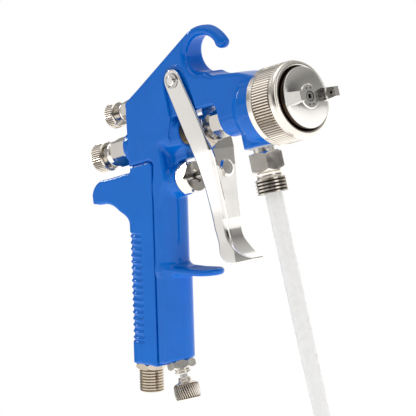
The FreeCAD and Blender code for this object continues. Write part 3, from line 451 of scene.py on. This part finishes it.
def finish_material(name, colour, tint, metal, rough, spread, grain, bump, coat=0.0, shine=0.5,
                    through=0.0, corner_tone=None, marks=None, painted_shades=()):
    """A procedural finish: colour mottled with tint, uneven gloss and fine relief.

    the colour for hollows is blended into inside corners by pointiness, marks are turning lines along x, and
    each painted shade is a span for the groove mask with its painted shade colour inside it.
    """
    material = bpy.data.materials.new(name)
    material.use_nodes = True
    tree = material.node_tree
    shader = tree.nodes["Principled BSDF"]
    shader.inputs["Metallic"].default_value = metal
    shader.inputs["Coat Weight"].default_value = coat
    shader.inputs["Coat Roughness"].default_value = 0.06
    shader.inputs["Specular IOR Level"].default_value = shine
    if through:
        shader.inputs["Subsurface Weight"].default_value = through
        shader.inputs["Subsurface Radius"].default_value = (0.004, 0.004, 0.004)
    place = add_node(tree, "TexCoord", {}, {}).outputs["Object"]

    def noise(scale, detail):
        values = {"Scale": scale, "Detail": detail, "Roughness": 0.55}
        return add_node(tree, "TexNoise", values, {"Vector": place}).outputs["Fac"]

    def stretch(source, low, high, start=0.0, end=1.0):
        values = {"From Min": low, "From Max": high, "To Min": start, "To Max": end}
        return add_node(tree, "MapRange", values, {"Value": source}).outputs[0]

    def blend(mask, first, second):
        mix = add_node(tree, "Mix", {}, {}, data_type="RGBA")
        tree.links.new(mask, mix.inputs["Factor"])
        for socket, value in ((mix.inputs[6], first), (mix.inputs[7], second)):
            if isinstance(value, tuple):
                socket.default_value = (*value, 1)
            else:
                tree.links.new(value, socket)
        return mix.outputs[2]

    shade = blend(stretch(noise(60, 3), 0.35, 0.65), colour, tint)
    # Inside corners, by pointiness, are blended towards the darker colour for hollows.
    if corner_tone:
        concavity = add_node(tree, "NewGeometry", {}, {}).outputs["Pointiness"]
        shade = blend(stretch(concavity, 0.42, 0.5), corner_tone, shade)
    # Painted shade: near each span's axis the colour goes to that span's painted shade colour.
    for span, dark in painted_shades:
        shade = blend(groove_shade_mask(tree, place, *span), shade, dark)
    tree.links.new(shade, shader.inputs["Base Color"])
    gloss = stretch(noise(240, 4), 0.3, 0.7, max(0.02, rough - spread), rough + spread)
    tree.links.new(gloss, shader.inputs["Roughness"])
    height = noise(grain, 5)
    if marks:
        scale, distortion, depth = marks
        values = {"Scale": scale, "Distortion": distortion, "Detail": 3}
        wave = add_node(tree, "TexWave", values, {"Vector": place}, bands_direction="X")
        both = add_node(tree, "Math", {}, {}, operation="MULTIPLY_ADD")
        both.inputs[1].default_value = depth
        tree.links.new(wave.outputs["Fac"], both.inputs[0])
        tree.links.new(height, both.inputs[2])
        height = both.outputs[0]
    relief = add_node(tree, "Bump", {"Strength": bump, "Distance": 0.0004}, {"Height": height})
    tree.links.new(relief.outputs[0], shader.inputs["Normal"])
    return material


NEEDLE_AXIS = (0, 0, LIFT)
# Painted shadow colour for the gap between the air cap and the retaining ring.
PAINTED_GAP_SHADOW = (0.05, 0.033, 0.022)
# Painted shade colour for the flutes of the knobs' knurls.
PAINTED_FLUTE_SHADE = (0.2, 0.15, 0.1)


def knurled_nickel(name, span):
    """Nickel with painted shade in the flutes, over the span of a knob's knurl."""
    return finish_material(name, (0.80, 0.755, 0.69), (0.72, 0.67, 0.60), 1, 0.22, 0.05, 1800, 0.01,
                           painted_shades=[(span, PAINTED_FLUTE_SHADE)])


def knob_span(knob, depth, z):
    """The span of painted shade in the flutes of a CAD knob on an axis along x at height z, from its crests
    down.
    """
    points = [v.co * 1000 for v in knob.data.vertices]
    crest = max(p.y for p in points)
    low = min(p.x for p in points) + 0.5
    high = max(p.x for p in points if math.hypot(p.y, p.z - z) > crest - 0.2)
    return ("X", (0, 0, z), crest - 0.15 * depth, crest - 0.85 * depth, low, high)


ENAMEL = finish_material("royal_blue_enamel", (0.0001, 0.150, 0.64), (0.0001, 0.138, 0.60),
                         0, 0.2, 0.04, 420, 0.015, coat=0.6, shine=0.0)
SHELL = finish_material("royal_blue_shell", (0.0001, 0.160, 0.66), (0.0001, 0.147, 0.62),
                        0, 0.24, 0.04, 700, 0.02, coat=0.55, shine=0.0)
NICKEL = finish_material("bright_nickel", (0.80, 0.765, 0.715), (0.74, 0.70, 0.645),
                         1, 0.14, 0.04, 1500, 0.008)
POLISHED = finish_material("polished_nickel", (0.87, 0.85, 0.82), (0.84, 0.82, 0.79),
                           1, 0.13, 0.03, 900, 0.004)
THREADED = finish_material("threaded_nickel", (0.58, 0.51, 0.42), (0.48, 0.41, 0.32),
                           1, 0.2, 0.05, 1600, 0.012, corner_tone=(0.22, 0.16, 0.10))
# The cap's skirt inside the ring is painted with shadow.
CAPPED = finish_material("cap_nickel", (0.86, 0.84, 0.805), (0.82, 0.80, 0.765),
                         1, 0.17, 0.03, 900, 0.004,
                         painted_shades=[(("X", NEEDLE_AXIS, 15.85, 16.2, 20, 38.5), PAINTED_GAP_SHADOW)])
# The ring's band gets painted shade below its crests, and its inner lip painted shadow next to the cap.
RINGED = finish_material("ring_nickel", (0.84, 0.80, 0.74), (0.78, 0.73, 0.66),
                         1, 0.2, 0.05, 1800, 0.01,
                         painted_shades=[(("X", NEEDLE_AXIS, 20.35, 19.85, 16.9, 29.8), (0.22, 0.16, 0.11)),
                                  (("X", NEEDLE_AXIS, 17.3, 16.95, 30, 36), PAINTED_GAP_SHADOW)])
# Near its axis, low on the inlet under the hex, the colour is painted shade.
INLET = finish_material("inlet_nickel", (0.86, 0.82, 0.76), (0.80, 0.76, 0.70),
                        1, 0.2, 0.05, 1600, 0.012,
                        painted_shades=[(("Z", (0, 0, 0), 8.3, 7.75, -1, 7.6), (0.14, 0.095, 0.055))])
FLOW_KNOB = knurled_nickel("flow_knob_nickel", ("Z", (FLOW_X, 0, 0), 6.85, 6.45,
                                                FLOOR + LIFT - 21, FLOOR + LIFT - 13))
FLUID_KNOB = knurled_nickel("fluid_knob_nickel", knob_span(nodes["fluid_knob"], 0.55, LIFT))
PATTERN_KNOB = knurled_nickel("pattern_knob_nickel", knob_span(nodes["pattern_knob"], 0.5, LIFT + PATTERN_Z))
BRASS = finish_material("turned_brass", (0.78, 0.58, 0.30), (0.66, 0.47, 0.22),
                        1, 0.2, 0.06, 1400, 0.04, marks=(900, 0.6, 0.6))
AGED = finish_material("aged_brass", (0.40, 0.31, 0.20), (0.30, 0.23, 0.15),
                       1, 0.3, 0.06, 1400, 0.03, marks=(900, 0.6, 0.6))
STEEL = finish_material("drawn_steel", (0.62, 0.61, 0.60), (0.54, 0.53, 0.52),
                        1, 0.2, 0.06, 1600, 0.05, marks=(1200, 0.8, 0.5))
PTFE = finish_material("white_ptfe", (0.80, 0.80, 0.78), (0.704, 0.704, 0.686), 0, 0.42, 0.06, 1100, 0.08)
RUBBER = finish_material("black_rubber", (0.02, 0.02, 0.022), (0.0176, 0.0176, 0.0194),
                         0, 0.55, 0.08, 1300, 0.15)
TUBING = finish_material("milky_tube", (0.97, 0.97, 0.955), (0.95, 0.95, 0.935),
                         0, 0.28, 0.05, 500, 0.012, coat=0.15, through=0.35)

DRESS = (
    (ENAMEL, "gun_body"),
    (SHELL, "rear_grip_cover"),
    (CAPPED, "air_cap"),
    (RINGED, "retaining_ring"),
    (INLET, "fluid_inlet_nipple"),
    (THREADED, "air_inlet_nipple"),
    (FLUID_KNOB, "fluid_knob"),
    (PATTERN_KNOB, "pattern_knob"),
    (FLOW_KNOB, "flow_knob"),
    (NICKEL, "spring_housing pattern_bushing air_valve_nut packing_nut flow_bushing"),
    (POLISHED, "trigger needle_collar valve_stud pivot_pin"),
    (STEEL, "fluid_nozzle cap_snap_ring pivot_clip fluid_needle needle_spring air_valve_spring"),
    (STEEL, "air_valve_stem pattern_stem flow_stem"),
    (BRASS, "air_distributor spring_cup spring_rear_seat"),
    (AGED, "needle_bushing"),
    (PTFE, "nozzle_gasket needle_packing inlet_washer"),
    (TUBING, "siphon_tube"),
    (RUBBER, "pattern_stem_seal air_valve_seal flow_stem_seal"),
)
for matter, names in DRESS:
    for name in names.split():
        slots = nodes[name].data.materials
        slots.clear()
        slots.append(matter)

# ------------------------------------------------------------------ pieces
body = cast_body(ENAMEL)
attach(body, "frame")
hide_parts("gun_body")

cover = cast_cover(SHELL)
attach(cover, "frame")
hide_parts("rear_grip_cover")

lever = formed_trigger(POLISHED)
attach(lever, "trigger")
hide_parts("trigger")

knob = knurled_flow_knob(FLOW_KNOB)
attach(knob, "flow_adjuster")
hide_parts("flow_knob")

# ------------------------------------------------------------------ studio, in metres
CENTRE = (-0.05, 0, 0)
FLOOR_Z = -0.1375
FLOOR_REACH = 3

# Each lamp: name, place, size, power.
LAMPS = (
    ("side_softbox", (-0.70, -0.68, 0.14), (0.8, 0.62), 0.8),
    ("edge_strip", (-0.78, 0.02, 0.66), (0.6, 0.05), 2.2),
    ("top_softbox", (0.1, -0.1, 1.0), (0.9, 0.9), 2),
    ("front_softbox", (1.0, -0.1, 0.25), (0.5, 0.9), 1.2),
    ("back_softbox", (-0.3, 0.9, 0.3), (0.9, 0.9), 2),
)

# Brightness of the room by height, from straight down (0) to straight up (1).
ROOM = ((0.0, (0.75, 0.75, 0.76)), (0.38, 0.70), (0.47, 0.50), (0.56, 0.42), (0.66, 0.30), (0.80, 0.6),
        (1.0, (0.95, 0.95, 0.95)))
WARMTH = (1, 0.985, 0.96)
ROOM_STRENGTH = 0.78

# Dark cards: direction, cosines of the outer edge and of the full card, brightness left.
CARDS = (
    ((0.68, -0.73, -0.03), 0.84, 0.95, 0.06),
    ((0.95, 0.30, -0.05), 0.88, 0.98, 0.25),
    ((-0.9, 0.3, 0.1), 0.93, 0.98, 0.3),
)


def area_lamp(name, place, size, power):
    """A rectangular lamp aimed at the gun."""
    data = bpy.data.lights.new(name, "AREA")
    data.shape = "RECTANGLE"
    data.size, data.size_y = size
    data.energy = power
    lamp = bpy.data.objects.new(name, data)
    lamp.location = place
    lamp.rotation_euler = (Vector(CENTRE) - Vector(place)).to_track_quat("-Z", "Y").to_euler()
    bpy.context.scene.collection.objects.link(lamp)


def studio_room():
    """A soft room with dark cards for the reflections, seen as plain white."""
    world = bpy.data.worlds.new("studio")
    bpy.context.scene.world = world
    world.use_nodes = True
    tree = world.node_tree
    tree.nodes.clear()
    direction = add_node(tree, "TexCoord", {}, {}).outputs["Generated"]
    split = add_node(tree, "SeparateXYZ", {}, {0: direction})
    level = add_node(tree, "MapRange", {"From Min": -1, "From Max": 1}, {"Value": split.outputs["Z"]})
    room = add_node(tree, "ValToRGB", {}, {0: level.outputs[0]})
    stops = room.color_ramp.elements
    stops[0].position, stops[0].color = ROOM[0][0], (*ROOM[0][1], 1)
    stops[1].position, stops[1].color = ROOM[-1][0], (*ROOM[-1][1], 1)
    for position, value in ROOM[1:-1]:
        stops.new(position).color = (*(value * w for w in WARMTH), 1)
    shade = room.outputs[0]
    for facing, outer, full, left in CARDS:
        dot = add_node(tree, "VectorMath", {1: Vector(facing).normalized()}, {0: direction},
                       operation="DOT_PRODUCT")
        span = {"From Min": outer, "From Max": full, "To Min": 1.0, "To Max": left}
        card = add_node(tree, "MapRange", span, {"Value": dot.outputs["Value"]})
        darker = add_node(tree, "Mix", {}, {}, data_type="RGBA", blend_type="MULTIPLY")
        darker.inputs[0].default_value = 1.0
        tree.links.new(shade, darker.inputs[6])
        tree.links.new(card.outputs[0], darker.inputs[7])
        shade = darker.outputs[2]
    lit = add_node(tree, "Background", {"Strength": ROOM_STRENGTH}, {"Color": shade})
    seen = add_node(tree, "Background", {"Color": (1, 1, 1, 1)}, {})
    path = add_node(tree, "LightPath", {}, {})
    mix = add_node(tree, "MixShader", {}, {0: path.outputs["Is Camera Ray"], 1: lit.outputs[0],
                                           2: seen.outputs[0]})
    add_node(tree, "OutputWorld", {}, {0: mix.outputs[0]})


def pale_floor():
    """The plain floor."""
    data = bpy.data.meshes.new("floor")
    corners = [(i * FLOOR_REACH, j * FLOOR_REACH, FLOOR_Z) for i, j in ((-1, -1), (1, -1), (1, 1), (-1, 1))]
    data.from_pydata(corners, [], [(0, 1, 2, 3)])
    pale = finish_material("pale_floor", (0.9, 0.9, 0.9), (0.885, 0.885, 0.885), 0, 0.6, 0.05, 60, 0.01)
    shader = pale.node_tree.nodes["Principled BSDF"]
    shader.inputs["Emission Color"].default_value = (1, 1, 1, 1)
    shader.inputs["Emission Strength"].default_value = 0.58
    data.materials.append(pale)
    floor = bpy.data.objects.new("floor", data)
    bpy.context.scene.collection.objects.link(floor)
    return floor


AZIMUTH, ELEVATION, ROLL = (math.radians(v) for v in (45.26, -2.86, -12.24))
CAMERA_PLACE = (1.06169, -1.10094, -0.07692)
SENSOR = 36
FOCAL_PER_WIDTH = 7.13954


def stand_camera():
    """The camera in front of the gun, to its right and a little below, rolled."""
    level = math.cos(ELEVATION)
    back = Vector((math.sin(AZIMUTH) * level, -math.cos(AZIMUTH) * level, math.sin(ELEVATION)))
    right = Vector((math.cos(AZIMUTH), math.sin(AZIMUTH), 0))
    up = back.cross(right)
    across = right * math.cos(ROLL) + up * math.sin(ROLL)
    upward = up * math.cos(ROLL) - right * math.sin(ROLL)
    lens = bpy.data.cameras.new("camera")
    lens.sensor_width = SENSOR
    lens.lens = FOCAL_PER_WIDTH * SENSOR
    lens.clip_end = 50
    camera = bpy.data.objects.new("camera", lens)
    turn = Matrix((across, upward, back)).transposed().to_4x4()
    camera.matrix_world = Matrix.Translation(CAMERA_PLACE) @ turn
    bpy.context.scene.collection.objects.link(camera)
    bpy.context.scene.camera = camera


for lamp in LAMPS:
    area_lamp(*lamp)
studio_room()
floor = pale_floor()
stand_camera()
bpy.context.scene.view_settings.view_transform = "Standard"
